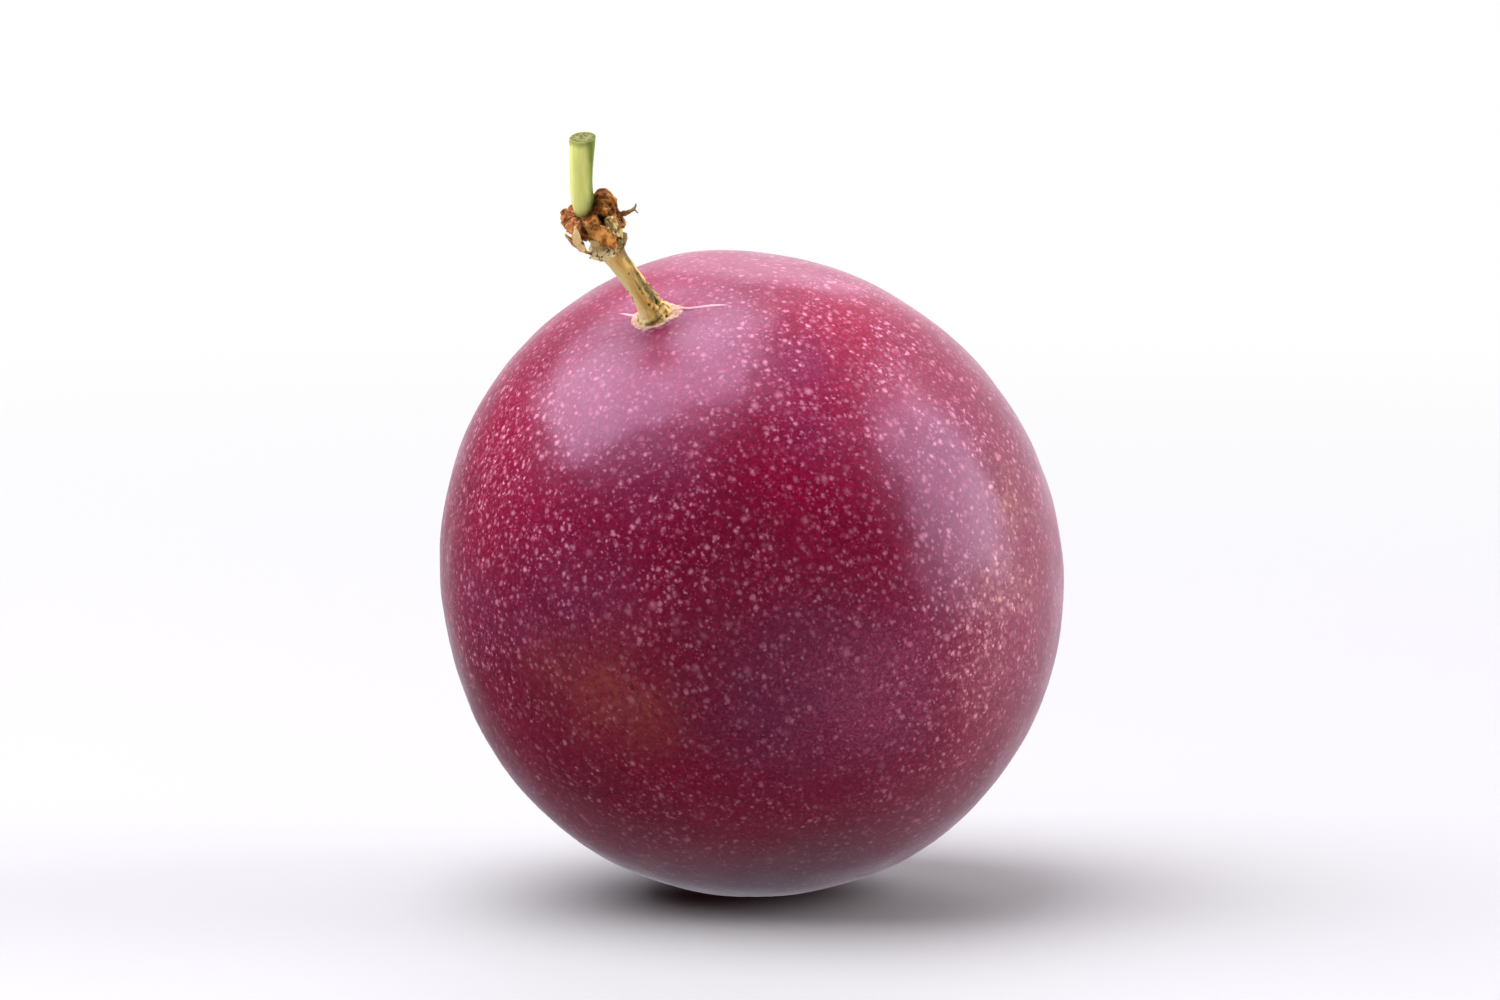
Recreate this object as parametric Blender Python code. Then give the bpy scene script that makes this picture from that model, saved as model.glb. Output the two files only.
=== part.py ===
"""A ripe purple passion fruit, picked with the dried end of its flower and a stub of green stalk.

It lies on a small flat spot of its rind. The origin is the middle of that spot and +Z is up. The
fruit's axis leans more towards -Y than -X, and the stem's more towards -X than -Y. Lengths are in
metres and angles in degrees.

From the fruit outwards the stalk is a woody stalk with a knobbly collar, which once carried the
stamens, then the dried cup of the flower with its torn sepals and one awn, then the green peduncle.
"""

import math

import bmesh
import bpy
from mathutils import Matrix, Vector

MM = 0.001
GAP = 0.3 * MM  # left between any two pieces
SHARP_ANGLE = 50.0  # an edge that turns more than this is shaded sharp

# The rind: a spheroid a little longer along its axis than across it
EQUATOR_RADIUS = 31.0 * MM
POLE_RADIUS = 33.2 * MM
FRUIT_TILT = 31.2
FRUIT_HEADING = 235.5
REST_DEPTH = 0.65 * MM  # how far the flat spot cuts into the rind
RIND_RINGS = 36
RIND_SIDES = 48
RING_CROWDING = 0.14  # draws the rings of the mesh together at both ends
CUT_TOLERANCE = 0.001 * MM

# Swellings of the rind: (how many around, height at the equator, direction of the first)
SWELLINGS = ((3, 0.36 * MM, 95.0), (5, 0.22 * MM, 85.0))
STEM_DIMPLE_DEPTH = 0.9 * MM
STEM_DIMPLE_RADIUS = 4.5 * MM
BLOSSOM_DIMPLE_DEPTH = 0.7 * MM
BLOSSOM_DIMPLE_RADIUS = 3.2 * MM
SCAR_RADIUS = 2.2 * MM
SCAR_HEIGHT = 0.35 * MM
SCAR_WIDTH = 0.5 * MM

# The woody stalk and everything beyond it
STEM_TILT = 35.6
STEM_HEADING = 211.0
STALK_LENGTH = 7.75 * MM  # from the rind to the lower edge of the collar
STALK_START_STRAIGHT = 2.0 * MM  # it leaves the rind square, then bends to the stem's direction
STALK_IN_CUP = 4.2 * MM  # its length beyond that, through the collar and into the cup
STALK_SIDES = 20
STALK_RINGS = 23
STALK_RADIUS = (  # (distance from the rind, radius)
    (0.0 * MM, 1.65 * MM),
    (1.0 * MM, 1.30 * MM),
    (3.0 * MM, 1.10 * MM),
    (6.6 * MM, 1.08 * MM),
    (7.8 * MM, 1.30 * MM),
    (8.5 * MM, 1.85 * MM),
    (9.2 * MM, 1.85 * MM),
    (10.0 * MM, 1.40 * MM),
    (12.0 * MM, 1.15 * MM),
)
COLLAR_PLACE = 8.85 * MM  # the middle of the swelling, from the rind
COLLAR_KNOBS = 5
COLLAR_KNOB_SHARE = 0.13
COLLAR_SPREAD = 0.7 * MM

CUP_FLOOR = 5.5 * MM  # the closed end of the cup, over the lower edge of the collar
CUP_RADIUS = 2.75 * MM
CUP_WALL = 0.5 * MM
CUP_BASE_THICKNESS = 1.0 * MM
CUP_LENGTH = 2.7 * MM
CUP_LENGTH_SLANT = 0.6 * MM  # longer on the right, torn away on the left
CUP_TEARS = ((5, 0.30 * MM, 20.0), (8, 0.22 * MM, 75.0))
CUP_LOBE_HEIGHT = 0.75 * MM
CUP_SIDES = 32
CUP_RINGS = 9
CUP_FOLDS = 7
CUP_FOLD_SHARE = 0.05
CUP_WIDEST = 0.5  # where it is widest, from its closed end to its rim
CUP_NARROWING = 0.12  # how much it narrows beyond that, as a share of its radius and length
CUP_INSIDE_SHARES = (1.0, 0.85)  # the rings of its inner face
CUP_ROOF_SHARE = 0.9  # of its radius, before the wall is taken off
CUP_ROOF_RINGS = (0.97, 0.6)  # of the roof's radius

SEPAL_DIRECTIONS = (75.0, 188.0, 236.0, 284.0, 332.0)
SEPAL_WIDTHS = (2.0 * MM, 1.5 * MM, 1.6 * MM, 1.7 * MM, 1.6 * MM)
SEPAL_THICKNESS = 0.32 * MM
SEPAL_RINGS = 7
SEPAL_SIDES = 8
SEPAL_START_GAP = 0.4 * MM  # below the lowest tear of the rim above them
SEPAL_END = 1.2 * MM  # where the sepals stop, over the lower edge of the collar
SEPAL_END_RADIUS = 2.45 * MM
SEPAL_BOW = 0.3 * MM
SEPAL_TAPER = 0.6  # the share of its width that it loses on the way to its point

AWN_PLACE = 0.85  # how far down the cup's side it grows, from the closed end to the rim
AWN_ELBOW = (1.75 * MM, 0.0, -0.50 * MM)  # from its root
AWN_HOOK = (0.45 * MM, 0.0, 0.65 * MM)  # from its elbow
AWN_BASE_RADIUS = 0.38 * MM
AWN_TIP_RADIUS = 0.08 * MM
AWN_STEPS = 8
AWN_SIDES = 8
AWN_FLATNESS = 0.7

PEDUNCLE_TILT = 16.0
PEDUNCLE_HEADING = 264.0
PEDUNCLE_LENGTH = 7.8 * MM
PEDUNCLE_RADIUS = 1.22 * MM
PEDUNCLE_FOOT_RADIUS = 1.0 * MM
PEDUNCLE_START_STRAIGHT = 1.6 * MM
PEDUNCLE_SIDES = 24
PEDUNCLE_RINGS = 12
PEDUNCLE_CUT_SLANT = 0.25 * MM
PEDUNCLE_FOOT_SHARE = 0.15  # it widens from its foot over this share of its length

STYLE_LENGTH = 1.6 * MM
STYLE_FOOT_RADIUS = 0.85 * MM
STYLE_TIP_RADIUS = 0.45 * MM
STYLE_RING_SHARES = (0, 0.3, 0.6, 0.85, 1)
STYLE_SIDES = 12

# Linear colours and roughness
FINISHES = {
    "rind_skin": ((0.150, 0.006, 0.022), 0.36),
    "stalk_wood": ((0.480, 0.270, 0.075), 0.75),
    "dried_calyx": ((0.170, 0.055, 0.012), 0.85),
    "torn_fibre": ((0.640, 0.400, 0.180), 0.85),
    "green_stalk": ((0.560, 0.640, 0.180), 0.50),
    "dried_style": ((0.090, 0.040, 0.018), 0.85),
}


def leaning(tilt, heading):
    """The unit vector this many degrees off vertical, towards a heading measured from +X."""
    tilt, heading = math.radians(tilt), math.radians(heading)
    flat = math.sin(tilt)
    return Vector((flat * math.cos(heading), flat * math.sin(heading), math.cos(tilt)))


def frame_along(direction, origin):
    """A frame with Z along direction and X as near the world's X as it can be."""
    across = (Vector((1, 0, 0)) - direction * direction.x).normalized()
    away = direction.cross(across)
    return Matrix.Translation(origin) @ Matrix((across, away, direction)).transposed().to_4x4()


def eased(knots, place):
    """The value at a place, going smoothly from one (place, value) pair to the next."""
    if place <= knots[0][0]:
        return knots[0][1]
    for (before, low), (after, high) in zip(knots, knots[1:]):
        if place <= after:
            share = (1 - math.cos(math.pi * (place - before) / (after - before))) / 2
            return low + (high - low) * share
    return knots[-1][1]


def hill(distance, width):
    return math.exp(-((distance / width) ** 2))


def waves(terms, around):
    """The sum of a few cosines around a piece, each (count, height, direction of the first)."""
    return sum(height * math.cos(count * (around - math.radians(first))) for count, height, first in terms)


def around_axis(radius, around, height):
    """A point at this radius and height, in this direction around a frame's own Z axis."""
    return Vector((radius * math.cos(around), radius * math.sin(around), height))


def curve_point(start, corner, end, share):
    """A point on the parabola that leaves start towards corner and arrives at end from corner."""
    return start * (1 - share) ** 2 + corner * 2 * share * (1 - share) + end * share**2


FRUIT_AXIS = leaning(FRUIT_TILT, FRUIT_HEADING)
STEM_AXIS = leaning(STEM_TILT, STEM_HEADING)


def fruit_middle():
    """The spheroid's middle, over the spot where the tilted spheroid touches the ground."""
    tilt = math.radians(FRUIT_TILT)
    wide, tall = EQUATOR_RADIUS * math.sin(tilt), POLE_RADIUS * math.cos(tilt)
    height = math.hypot(wide, tall)
    offset = (POLE_RADIUS**2 - EQUATOR_RADIUS**2) * math.sin(tilt) * math.cos(tilt) / height
    sideways = leaning(90.0, FRUIT_HEADING)
    return sideways * offset + Vector((0, 0, height - REST_DEPTH))


FRUIT_FRAME = frame_along(FRUIT_AXIS, fruit_middle())


def rind_point(polar, around):
    """A point of the rind in the fruit's own frame. polar is 0 at the stalk and pi at the far end."""
    out = math.sin(polar)
    radius = EQUATOR_RADIUS * out + waves(SWELLINGS, around) * out
    height = POLE_RADIUS * math.cos(polar)
    if height > 0:
        height -= STEM_DIMPLE_DEPTH * hill(radius, STEM_DIMPLE_RADIUS)
        height += SCAR_HEIGHT * hill(radius - SCAR_RADIUS, SCAR_WIDTH)
    else:
        height += BLOSSOM_DIMPLE_DEPTH * hill(radius, BLOSSOM_DIMPLE_RADIUS)
    return around_axis(radius, around, height)


def ring_of(bm, count, point_at):
    return [bm.verts.new(point_at(math.tau * i / count)) for i in range(count)]


def join_rings(bm, first, second):
    count = len(first)
    for i in range(count):
        j = (i + 1) % count
        bm.faces.new((first[i], first[j], second[j], second[i]))


def close_end(bm, ring, tip):
    """Joins a ring to a single point."""
    end = bm.verts.new(tip)
    for i in range(len(ring)):
        bm.faces.new((ring[i], ring[(i + 1) % len(ring)], end))


def add_node(name, bm, finish):
    bmesh.ops.recalc_face_normals(bm, faces=bm.faces)
    mesh = bpy.data.meshes.new(name)
    bm.to_mesh(mesh)
    bm.free()
    mesh.shade_smooth()
    mesh.set_sharp_from_angle(angle=math.radians(SHARP_ANGLE))
    mesh.materials.append(bpy.data.materials[finish])
    node = bpy.data.objects.new(name, mesh)
    bpy.context.scene.collection.objects.link(node)
    return node


def add_tube(name, finish, path, radius_at, sides, flat_way=None, flatness=1.0):
    """A closed tube along a path of points. flat_way is the direction in which it is flattened."""
    bm = bmesh.new()
    rings = []
    across = flat_way or Vector((1, 0, 0))
    for i, place in enumerate(path):
        along = (path[min(i + 1, len(path) - 1)] - path[max(i - 1, 0)]).normalized()
        thin = (across - along * across.dot(along)).normalized()
        wide = along.cross(thin)

        def point_at(angle):
            radius = radius_at(i, angle)
            return place + wide * radius * math.cos(angle) + thin * radius * flatness * math.sin(angle)

        rings.append(ring_of(bm, sides, point_at))
    for first, second in zip(rings, rings[1:]):
        join_rings(bm, first, second)
    bm.faces.new(reversed(rings[0]))
    bm.faces.new(rings[-1])
    return add_node(name, bm, finish)


def make_finishes():
    for name, (colour, roughness) in FINISHES.items():
        finish = bpy.data.materials.new(name)
        finish.use_nodes = True
        shader = finish.node_tree.nodes["Principled BSDF"]
        shader.inputs["Base Color"].default_value = (*colour, 1)
        shader.inputs["Roughness"].default_value = roughness
        shader.inputs["Metallic"].default_value = 0


def make_fruit():
    """The whole rind as one solid, cut flat where it rests."""
    bm = bmesh.new()
    rings = []
    for i in range(1, RIND_RINGS):
        share = i / RIND_RINGS
        polar = math.pi * (share - RING_CROWDING * math.sin(math.tau * share))
        rings.append(ring_of(bm, RIND_SIDES, lambda around: rind_point(polar, around)))
    for first, second in zip(rings, rings[1:]):
        join_rings(bm, first, second)
    close_end(bm, rings[0], rind_point(0.0, 0.0))
    close_end(bm, rings[-1], rind_point(math.pi, 0.0))
    bm.transform(FRUIT_FRAME)
    cut = bmesh.ops.bisect_plane(
        bm,
        geom=[*bm.verts, *bm.edges, *bm.faces],
        dist=CUT_TOLERANCE,
        plane_co=(0, 0, 0),
        plane_no=(0, 0, 1),
        clear_inner=True,
    )
    spot_edges = [item for item in cut["geom_cut"] if isinstance(item, bmesh.types.BMEdge)]
    bmesh.ops.edgeloop_fill(bm, edges=spot_edges)
    return add_node("fruit", bm, "rind_skin")


def stalk_foot():
    """Where the woody stalk starts, just clear of the rind and its scar."""
    highest = max(
        rind_point(math.asin(radius / EQUATOR_RADIUS), 0.0).z
        for radius in (0.0, STALK_RADIUS[0][1])
    )
    return FRUIT_FRAME @ Vector((0, 0, highest + GAP))


COLLAR = stalk_foot() + STEM_AXIS * STALK_LENGTH
STEM_FRAME = frame_along(STEM_AXIS, COLLAR)


def make_woody_stalk():
    start = stalk_foot()
    corner = start + FRUIT_AXIS * STALK_START_STRAIGHT
    total = STALK_LENGTH + STALK_IN_CUP
    places = [total * i / (STALK_RINGS - 1) for i in range(STALK_RINGS)]

    def centre(place):
        if place <= STALK_LENGTH:
            return curve_point(start, corner, COLLAR, place / STALK_LENGTH)
        return COLLAR + STEM_AXIS * (place - STALK_LENGTH)

    def radius_at(i, angle):
        knobs = COLLAR_KNOB_SHARE * hill(places[i] - COLLAR_PLACE, COLLAR_SPREAD)
        return eased(STALK_RADIUS, places[i]) * (1 + knobs * math.cos(COLLAR_KNOBS * angle))

    path = [centre(place) for place in places]
    return add_tube("woody_stalk", "stalk_wood", path, radius_at, STALK_SIDES)


def cup_length(around):
    return CUP_LENGTH + CUP_LENGTH_SLANT * math.cos(around) + waves(CUP_TEARS, around)


def cup_outside(share, around):
    """The cup's outer face in the stem's frame: share is 0 at the closed end and 1 at the torn rim."""
    turn = min(1.0, share / CUP_WIDEST) * math.pi / 2
    fold = 1 + CUP_FOLD_SHARE * math.cos(CUP_FOLDS * around) * share
    narrowing = 1 - CUP_NARROWING * max(0.0, share - CUP_WIDEST)
    radius = CUP_RADIUS * math.sin(turn) * narrowing * fold
    lobe = CUP_LOBE_HEIGHT * math.cos(around) ** 2 * math.sin(2 * turn) ** 2
    height = CUP_FLOOR - cup_length(around) * share * share + lobe
    return around_axis(radius, around, height)


def cup_inside(share, around):
    outer = cup_outside(share, around)
    radius = outer.to_2d().length - CUP_WALL
    height = min(outer.z, CUP_FLOOR - CUP_BASE_THICKNESS)
    return around_axis(radius, around, height)


def make_calyx_cup():
    """The dried cup: closed over the peduncle with a lobe on each side, torn open towards the fruit."""
    bm = bmesh.new()
    rings = []
    for i in range(1, CUP_RINGS + 1):
        share = i / CUP_RINGS
        rings.append(ring_of(bm, CUP_SIDES, lambda around: cup_outside(share, around)))
    for share in CUP_INSIDE_SHARES:
        rings.append(ring_of(bm, CUP_SIDES, lambda around: cup_inside(share, around)))
    roof = CUP_FLOOR - CUP_BASE_THICKNESS
    for part in CUP_ROOF_RINGS:
        bore = (CUP_RADIUS * CUP_ROOF_SHARE - CUP_WALL) * part
        rings.append(ring_of(bm, CUP_SIDES, lambda around: around_axis(bore, around, roof)))
    for first, second in zip(rings, rings[1:]):
        join_rings(bm, first, second)
    close_end(bm, rings[0], (0, 0, CUP_FLOOR))
    close_end(bm, rings[-1], (0, 0, roof))
    bm.transform(STEM_FRAME)
    return add_node("calyx_cup", bm, "dried_calyx")


def make_sepal(number, direction, width):
    """One torn strip between the rim of the cup and the collar, bowed outwards and pointed."""
    around = math.radians(direction)
    out = Vector((math.cos(around), math.sin(around), 0))
    half_angle = width / 2 / CUP_RADIUS
    rim = [cup_outside(1.0, around + half_angle * side) for side in (-1, -0.5, 0, 0.5, 1)]
    start = out * (rim[2].to_2d().length - CUP_WALL / 2)
    start.z = min(point.z for point in rim) - SEPAL_START_GAP
    end = out * SEPAL_END_RADIUS + Vector((0, 0, SEPAL_END))
    bow = (start + end) / 2 + out * SEPAL_BOW
    shares = [i / (SEPAL_RINGS - 1) for i in range(SEPAL_RINGS)]
    path = [STEM_FRAME @ curve_point(start, bow, end, share) for share in shares]

    def radius_at(i, angle):
        return width / 2 * (1 - SEPAL_TAPER * shares[i] ** 2)

    return add_tube(
        f"sepal_{number}",
        "torn_fibre",
        path,
        radius_at,
        SEPAL_SIDES,
        flat_way=STEM_FRAME.to_3x3() @ out,
        flatness=SEPAL_THICKNESS / width,
    )


def make_bract_awn():
    """The one thin dried point that stands out from the right of the cup and hooks up at its tip."""
    root = cup_outside(AWN_PLACE, 0.0) + Vector((GAP, 0, 0))
    elbow = root + Vector(AWN_ELBOW)
    tip = elbow + Vector(AWN_HOOK)
    shares = [i / AWN_STEPS for i in range(AWN_STEPS + 1)]
    path = [STEM_FRAME @ curve_point(root, elbow, tip, share) for share in shares]

    def radius_at(i, angle):
        return AWN_BASE_RADIUS + (AWN_TIP_RADIUS - AWN_BASE_RADIUS) * shares[i]

    return add_tube(
        "bract_awn",
        "dried_calyx",
        path,
        radius_at,
        AWN_SIDES,
        flat_way=STEM_AXIS,
        flatness=AWN_FLATNESS,
    )


def make_peduncle():
    """The green stub: it leaves the cup along the stem, straightens up and ends in a clean cut."""
    start = STEM_FRAME @ Vector((0, 0, CUP_FLOOR + GAP))
    corner = start + STEM_AXIS * PEDUNCLE_START_STRAIGHT
    end = start + leaning(PEDUNCLE_TILT, PEDUNCLE_HEADING) * PEDUNCLE_LENGTH
    shares = [i / (PEDUNCLE_RINGS - 1) for i in range(PEDUNCLE_RINGS)]
    path = [curve_point(start, corner, end, share) for share in shares]

    def radius_at(i, angle):
        widening = min(1.0, shares[i] / PEDUNCLE_FOOT_SHARE)
        return PEDUNCLE_FOOT_RADIUS + (PEDUNCLE_RADIUS - PEDUNCLE_FOOT_RADIUS) * widening

    node = add_tube("peduncle", "green_stalk", path, radius_at, PEDUNCLE_SIDES)
    for vertex in node.data.vertices[-PEDUNCLE_SIDES:]:
        vertex.co.z += PEDUNCLE_CUT_SLANT * (vertex.co.x - end.x) / PEDUNCLE_RADIUS
    return node


def make_style_remnant():
    """The dry stub of the styles in the dimple at the fruit's far end."""
    floor = BLOSSOM_DIMPLE_DEPTH - POLE_RADIUS
    heights = [floor - GAP - STYLE_LENGTH * share for share in STYLE_RING_SHARES]
    path = [FRUIT_FRAME @ Vector((0, 0, height)) for height in heights]

    def radius_at(i, angle):
        share = i / (len(path) - 1)
        return STYLE_FOOT_RADIUS + (STYLE_TIP_RADIUS - STYLE_FOOT_RADIUS) * share

    return add_tube("style_remnant", "dried_style", path, radius_at, STYLE_SIDES)


def main():
    for old in list(bpy.data.objects):
        bpy.data.objects.remove(old, do_unlink=True)
    make_finishes()
    make_fruit()
    make_woody_stalk()
    make_calyx_cup()
    for number, (direction, width) in enumerate(zip(SEPAL_DIRECTIONS, SEPAL_WIDTHS), start=1):
        make_sepal(number, direction, width)
    make_bract_awn()
    make_peduncle()
    make_style_remnant()


main()
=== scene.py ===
"""The looks of the passion fruit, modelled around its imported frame.

Every visible piece is a fine mesh that stands for one CAD node or a part of one. The pieces are
described in frames of their own: the fruit's, with Z along its axis towards the stalk, and the stem's,
with its origin at the collar's lower edge, Z along the stem towards the green end and X to the right.
Directions around a piece are degrees from its frame's X. Lengths are metres, except in the shaders and
where a comment says millimetres.
"""

import functools
import math

import bmesh
import bpy
from mathutils import Matrix, Vector, noise


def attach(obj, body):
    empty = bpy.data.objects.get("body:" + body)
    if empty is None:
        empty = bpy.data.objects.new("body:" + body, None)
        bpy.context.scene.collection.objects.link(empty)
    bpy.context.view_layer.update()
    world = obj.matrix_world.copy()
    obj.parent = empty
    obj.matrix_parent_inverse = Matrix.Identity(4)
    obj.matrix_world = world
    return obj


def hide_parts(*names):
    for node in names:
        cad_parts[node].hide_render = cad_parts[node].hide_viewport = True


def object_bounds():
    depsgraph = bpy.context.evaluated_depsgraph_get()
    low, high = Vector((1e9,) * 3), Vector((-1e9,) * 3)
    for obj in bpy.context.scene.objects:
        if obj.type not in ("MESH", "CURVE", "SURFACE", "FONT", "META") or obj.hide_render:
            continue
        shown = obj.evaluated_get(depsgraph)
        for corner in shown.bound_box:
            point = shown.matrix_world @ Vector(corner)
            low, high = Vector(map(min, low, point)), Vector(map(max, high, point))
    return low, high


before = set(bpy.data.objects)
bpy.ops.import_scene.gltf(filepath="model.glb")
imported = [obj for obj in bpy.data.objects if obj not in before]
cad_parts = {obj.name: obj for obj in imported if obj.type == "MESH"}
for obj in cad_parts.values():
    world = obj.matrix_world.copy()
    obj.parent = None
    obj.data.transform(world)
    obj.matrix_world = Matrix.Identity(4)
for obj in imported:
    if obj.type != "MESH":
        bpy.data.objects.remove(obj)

MM = 0.001
CAD_BOX = [list(corner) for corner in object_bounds()]

# ---------------------------------------------------------------- dimensions, as the CAD has them

EQUATOR_RADIUS = 31.0 * MM
POLE_RADIUS = 33.2 * MM
FRUIT_TILT = 31.2
FRUIT_HEADING = 235.5
REST_DEPTH = 0.65 * MM  # how far the flat spot cuts into the rind
RING_CROWDING = 0.14  # draws the rings of the mesh together at both ends
SWELLINGS = ((3, 0.36 * MM, 95.0), (5, 0.22 * MM, 85.0))  # (how many, height, direction of the first)
STEM_DIMPLE_DEPTH = 0.9 * MM
STEM_DIMPLE_RADIUS = 4.5 * MM
BLOSSOM_DIMPLE_DEPTH = 0.7 * MM
BLOSSOM_DIMPLE_RADIUS = 3.2 * MM

STEM_TILT = 35.6
STEM_HEADING = 211.0
STALK_LENGTH = 7.75 * MM  # from the rind to the lower edge of the collar
STALK_START_STRAIGHT = 2.0 * MM  # it leaves the rind square, then bends to the stem's direction
STALK_IN_CUP = 4.2 * MM  # its length beyond that, through the collar and into the cup
CUP_FLOOR = 5.5 * MM  # the closed end of the cup, over the lower edge of the collar
CUP_RADIUS = 2.75 * MM
PEDUNCLE_TILT = 16.0
PEDUNCLE_HEADING = 264.0
PEDUNCLE_LENGTH = 7.8 * MM
PEDUNCLE_RADIUS = 1.22 * MM
PEDUNCLE_START_STRAIGHT = 1.6 * MM

# ---------------------------------------------------------------- how far pieces sink into each other

STALK_FOOT_LIFT = 0.35 * MM  # the stalk's foot, over the floor of the dimple
STALK_SUNK = 0.6 * MM  # how far below its foot the stalk's mesh starts, inside the rind
PEDUNCLE_SUNK = 0.4 * MM
STYLE_SUNK = 0.3 * MM

# ---------------------------------------------------------------- small helpers


def leaning(tilt, heading):
    """The unit vector this many degrees off vertical, towards a heading measured from +X."""
    tilt, heading = math.radians(tilt), math.radians(heading)
    flat = math.sin(tilt)
    return Vector((flat * math.cos(heading), flat * math.sin(heading), math.cos(tilt)))


def frame_along(direction, origin):
    """A frame with Z along direction and X as near the world's X as it can be."""
    across = (Vector((1, 0, 0)) - direction * direction.x).normalized()
    away = direction.cross(across)
    return Matrix.Translation(origin) @ Matrix((across, away, direction)).transposed().to_4x4()


def hill(distance, width):
    """1 at no distance, and falling off smoothly over about this width."""
    return math.exp(-((distance / width) ** 2))


def crest(value):
    """Turns smooth noise into noise with sharp crests, at most 1."""
    return 1 - 2.6 * abs(value)


def blend(low, high, value):
    """0 below low, 1 above high and smooth between."""
    share = min(1.0, max(0.0, (value - low) / (high - low)))
    return share * share * (3 - 2 * share)


def eased(knots, place):
    """The value at a place, going smoothly from one (place, value) pair to the next."""
    for (before, low), (after, high) in zip(knots, knots[1:]):
        if place <= after:
            return low + (high - low) * blend(before, after, place)
    return knots[-1][1]


def turned_by(around, degrees):
    """The angle from a direction in degrees to around, between -pi and pi."""
    return (around - math.radians(degrees) + math.pi) % math.tau - math.pi


def curve_point(start, corner, end, share):
    """A point on the parabola that leaves start towards corner and arrives at end from corner."""
    return start * (1 - share) ** 2 + corner * 2 * share * (1 - share) + end * share**2


def rough(point, size, seed=0.0):
    """Smooth noise from -1 to 1 with lumps about this size."""
    return noise.noise(point / size + Vector((seed, 1.7 * seed, -seed)))


FRUIT_AXIS = leaning(FRUIT_TILT, FRUIT_HEADING)
STEM_AXIS = leaning(STEM_TILT, STEM_HEADING)


def fruit_middle():
    """The spheroid's middle, over the spot where the tilted spheroid touches the ground."""
    tilt = math.radians(FRUIT_TILT)
    wide, tall = EQUATOR_RADIUS * math.sin(tilt), POLE_RADIUS * math.cos(tilt)
    height = math.hypot(wide, tall)
    offset = (POLE_RADIUS**2 - EQUATOR_RADIUS**2) * math.sin(tilt) * math.cos(tilt) / height
    return leaning(90.0, FRUIT_HEADING) * offset + Vector((0, 0, height - REST_DEPTH))


FRUIT_FRAME = frame_along(FRUIT_AXIS, fruit_middle())
STALK_FOOT = FRUIT_FRAME @ Vector((0, 0, POLE_RADIUS - STEM_DIMPLE_DEPTH + STALK_FOOT_LIFT))
COLLAR = STALK_FOOT + STEM_AXIS * STALK_LENGTH
STEM_FRAME = frame_along(STEM_AXIS, COLLAR)
PEDUNCLE_FOOT = STEM_FRAME @ Vector((0, 0, CUP_FLOOR))
PEDUNCLE_FRAME = frame_along(leaning(PEDUNCLE_TILT, PEDUNCLE_HEADING), PEDUNCLE_FOOT)

# ---------------------------------------------------------------- meshes


def add_skin(name, rows, columns, point_at, finish, layers=()):
    """A closed skin of rings. point_at(i, j) gives a point, then one number for each named layer."""
    points, values = [], []
    for i in range(rows):
        for j in range(columns):
            point, *numbers = point_at(i, j)
            points.append(point)
            values.append(numbers)
    for first in (0, (rows - 1) * columns):
        ring = range(first, first + columns)
        points.append(sum((points[k] for k in ring), Vector()) / columns)
        values.append([sum(values[k][n] for k in ring) / columns for n in range(len(layers))])
    faces = []
    for i in range(rows - 1):
        ring, following = i * columns, (i + 1) * columns
        for j in range(columns):
            k = (j + 1) % columns
            faces.append((ring + j, ring + k, following + k, following + j))
    last = (rows - 1) * columns
    for j in range(columns):
        k = (j + 1) % columns
        faces.append((k, j, rows * columns))
        faces.append((last + j, last + k, rows * columns + 1))
    mesh = bpy.data.meshes.new(name)
    mesh.from_pydata(points, [], faces)
    for n, layer in enumerate(layers):
        attribute = mesh.attributes.new(layer, "FLOAT", "POINT")
        attribute.data.foreach_set("value", [numbers[n] for numbers in values])
    bm = bmesh.new()
    bm.from_mesh(mesh)
    bmesh.ops.recalc_face_normals(bm, faces=bm.faces)
    bm.to_mesh(mesh)
    bm.free()
    mesh.shade_smooth()
    mesh.materials.append(finish)
    piece = bpy.data.objects.new(name, mesh)
    bpy.context.scene.collection.objects.link(piece)
    return piece


def settle(piece, slot, *nodes):
    """Hangs a piece on the root body and hides the CAD nodes that it stands for; slot is not used."""
    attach(piece, "root")
    if nodes:
        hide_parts(*nodes)


# ---------------------------------------------------------------- shader helpers


def linear(*levels):
    """A shader colour from the red, green and blue that a screen shows, 0 to 255, by the sRGB curve."""
    shares = (level / 255 for level in levels)
    return (*(c / 12.92 if c <= 0.04045 else ((c + 0.055) / 1.055) ** 2.4 for c in shares), 1.0)


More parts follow.
